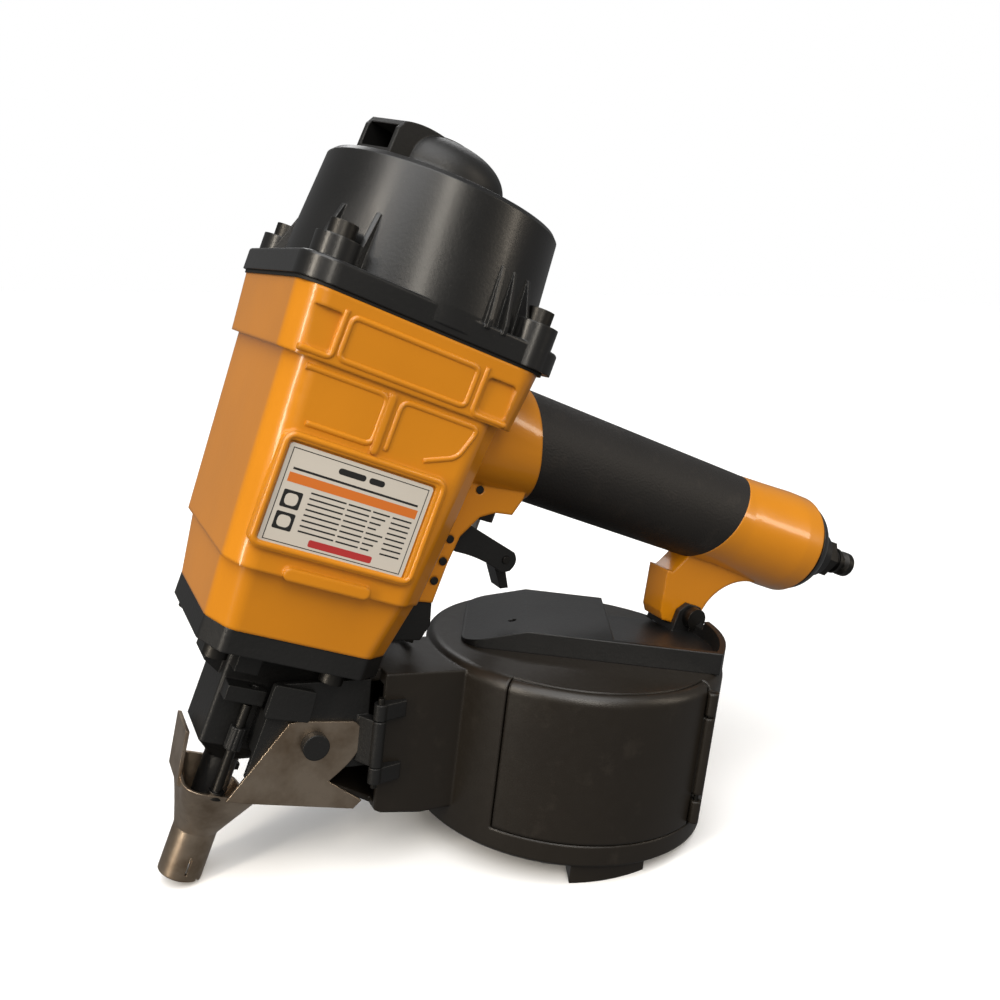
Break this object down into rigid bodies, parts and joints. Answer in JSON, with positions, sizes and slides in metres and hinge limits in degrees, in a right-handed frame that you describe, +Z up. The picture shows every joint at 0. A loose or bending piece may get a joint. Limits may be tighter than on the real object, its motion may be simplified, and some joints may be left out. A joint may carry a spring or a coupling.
{
  "type": "pneumatic coil nailer",
  "caption": "Air-driven nail gun with a round side-loading magazine, pistol handle, trigger, safety foot and turning exhaust deflector.",
  "frame": {"origin": "centre of the resting tool's bounding box, on the surface it stands on", "axes": "+X from the nose towards the air plug, +Y to the tool's right, +Z up; the tool rests on its nose tip and the magazine bottom, so the drive axis leans 21.4 degrees back from +Z"},
  "size_m": [0.3241, 0.1212, 0.2663],
  "materials": {
    "orange_paint": "gloss",
    "label": "satin",
    "gasket": "matte",
    "black_paint": "satin",
    "black_bolt": "black oxide",
    "black_plastic": "satin",
    "aluminium": "machined",
    "bumper_rubber": "matte",
    "steel": "ground",
    "seal": "matte",
    "valve_plastic": "gloss",
    "spring_steel": "drawn",
    "grip_rubber": "fine texture",
    "dark_steel": "blackened",
    "trigger_black": "satin",
    "nose_black": "satin",
    "bright_nickel": "nickel",
    "nut_black": "satin",
    "magazine_plastic": "satin",
    "hanger_black": "satin"
  },
  "bodies": {
    "tool": {"main_housing": "orange_paint", "label_plate": "label", "cap_gasket": "gasket", "cylinder_cap": "black_paint", "cap_bolts": "black_bolt", "deflector_screw": "black_bolt", "cylinder_sleeve": "aluminium", "bumper": "bumper_rubber", "head_valve_spring": "spring_steel", "handle_grip": "grip_rubber", "end_cap": "black_paint", "end_cap_seal": "seal", "air_plug": "dark_steel", "trigger_pin": "dark_steel", "bracket_pins": "dark_steel", "trigger_valve_body": "valve_plastic", "trigger_valve_spring": "spring_steel", "nose_body": "nose_black", "nose_bolts": "black_bolt", "arm_cover": "black_plastic", "contact_spring": "spring_steel", "magazine_body": "magazine_plastic", "door_bracket": "nose_black", "door_hinge_pin": "dark_steel", "cover_hinge_pin": "dark_steel", "platform_post": "black_plastic", "magazine_hanger": "hanger_black", "hanger_bolt": "black_bolt", "feed_cylinder": "aluminium", "feed_spring": "spring_steel"},
    "piston": {"piston_driver": "steel", "piston_ring": "seal"},
    "head_valve": {"head_valve": "valve_plastic"},
    "exhaust_deflector": {"exhaust_deflector": "black_plastic"},
    "trigger": {"trigger": "trigger_black", "lever_pin": "dark_steel"},
    "trigger_lever": {"trigger_lever": "trigger_black"},
    "valve_stem": {"trigger_valve_stem": "steel"},
    "contact_foot": {"contact_foot": "bright_nickel", "contact_arm": "dark_steel", "adjuster_rod": "dark_steel"},
    "adjuster_nut": {"adjuster_nut": "nut_black"},
    "feed_door": {"feed_door": "nose_black", "door_block": "nose_black", "side_shield": "bright_nickel", "shield_boss": "nut_black"},
    "magazine_cover": {"magazine_cover": "magazine_plastic"},
    "nail_platform": {"nail_platform": "black_plastic"},
    "feed_carriage": {"feed_piston": "steel", "feed_pawl": "steel"}
  },
  "joints": [
    {"name": "piston_stroke", "type": "slide", "parent": "tool", "child": "piston", "axis": [-0.3649, 0, -0.9311], "range_m": [0, 0.074]},
    {"name": "head_valve_lift", "type": "slide", "parent": "tool", "child": "head_valve", "axis": [0.3649, 0, 0.9311], "range_m": [0, 0.0045], "stiffness_N_per_m": 3000, "springref_m": -0.006, "deforming": ["head_valve_spring"]},
    {"name": "deflector_turn", "type": "hinge", "parent": "tool", "child": "exhaust_deflector", "pos_m": [-0.05626, 0.0087, 0.24576], "axis": [0.3649, 0, 0.9311], "continuous": true},
    {"name": "trigger_pull", "type": "hinge", "parent": "tool", "child": "trigger", "pos_m": [-0.05539, 0.0087, 0.1219], "axis": [0, -1, 0], "range_deg": [0, 9], "stiffness_Nm_per_rad": 0.6, "springref_deg": -20.05},
    {"name": "lever_lift", "type": "hinge", "parent": "trigger", "child": "trigger_lever", "pos_m": [-0.02926, 0.0087, 0.10909], "axis": [0, 1, 0], "range_deg": [0, 4]},
    {"name": "valve_stem_push", "type": "slide", "parent": "tool", "child": "valve_stem", "axis": [0.3649, 0, 0.9311], "range_m": [0, 0.003], "deforming": ["trigger_valve_spring"]},
    {"name": "contact_foot_press", "type": "slide", "parent": "tool", "child": "contact_foot", "axis": [0.3649, 0, 0.9311], "range_m": [0, 0.009], "stiffness_N_per_m": 1500, "springref_m": -0.02, "deforming": ["contact_spring"]},
    {"name": "depth_nut_turn", "type": "hinge", "parent": "contact_foot", "child": "adjuster_nut", "pos_m": [-0.13555, -0.0081, 0.05988], "axis": [0.3649, 0, 0.9311], "continuous": true},
    {"name": "feed_door_swing", "type": "hinge", "parent": "tool", "child": "feed_door", "pos_m": [-0.08909, -0.0219, 0.05456], "axis": [0.1028, 0, 0.9947], "range_deg": [0, 95]},
    {"name": "magazine_cover_swing", "type": "hinge", "parent": "tool", "child": "magazine_cover", "pos_m": [0.02951, -0.05474, 0.04083], "axis": [0.1028, 0, 0.9947], "range_deg": [0, 95]},
    {"name": "platform_height", "type": "slide", "parent": "tool", "child": "nail_platform", "axis": [0.1028, 0, 0.9947], "range_m": [0, 0.03]},
    {"name": "feed_stroke", "type": "slide", "parent": "tool", "child": "feed_carriage", "axis": [0.9311, 0, -0.3649], "range_m": [0, 0.008], "stiffness_N_per_m": 600, "springref_m": -0.008, "deforming": ["feed_spring"]}
  ],
  "couplings": [
    {"joint": "valve_stem_push", "follows": "trigger_pull", "m_per_rad": 0.019099},
    {"joint": "lever_lift", "follows": "contact_foot_press", "rad_per_m": 7.757}
  ]
}
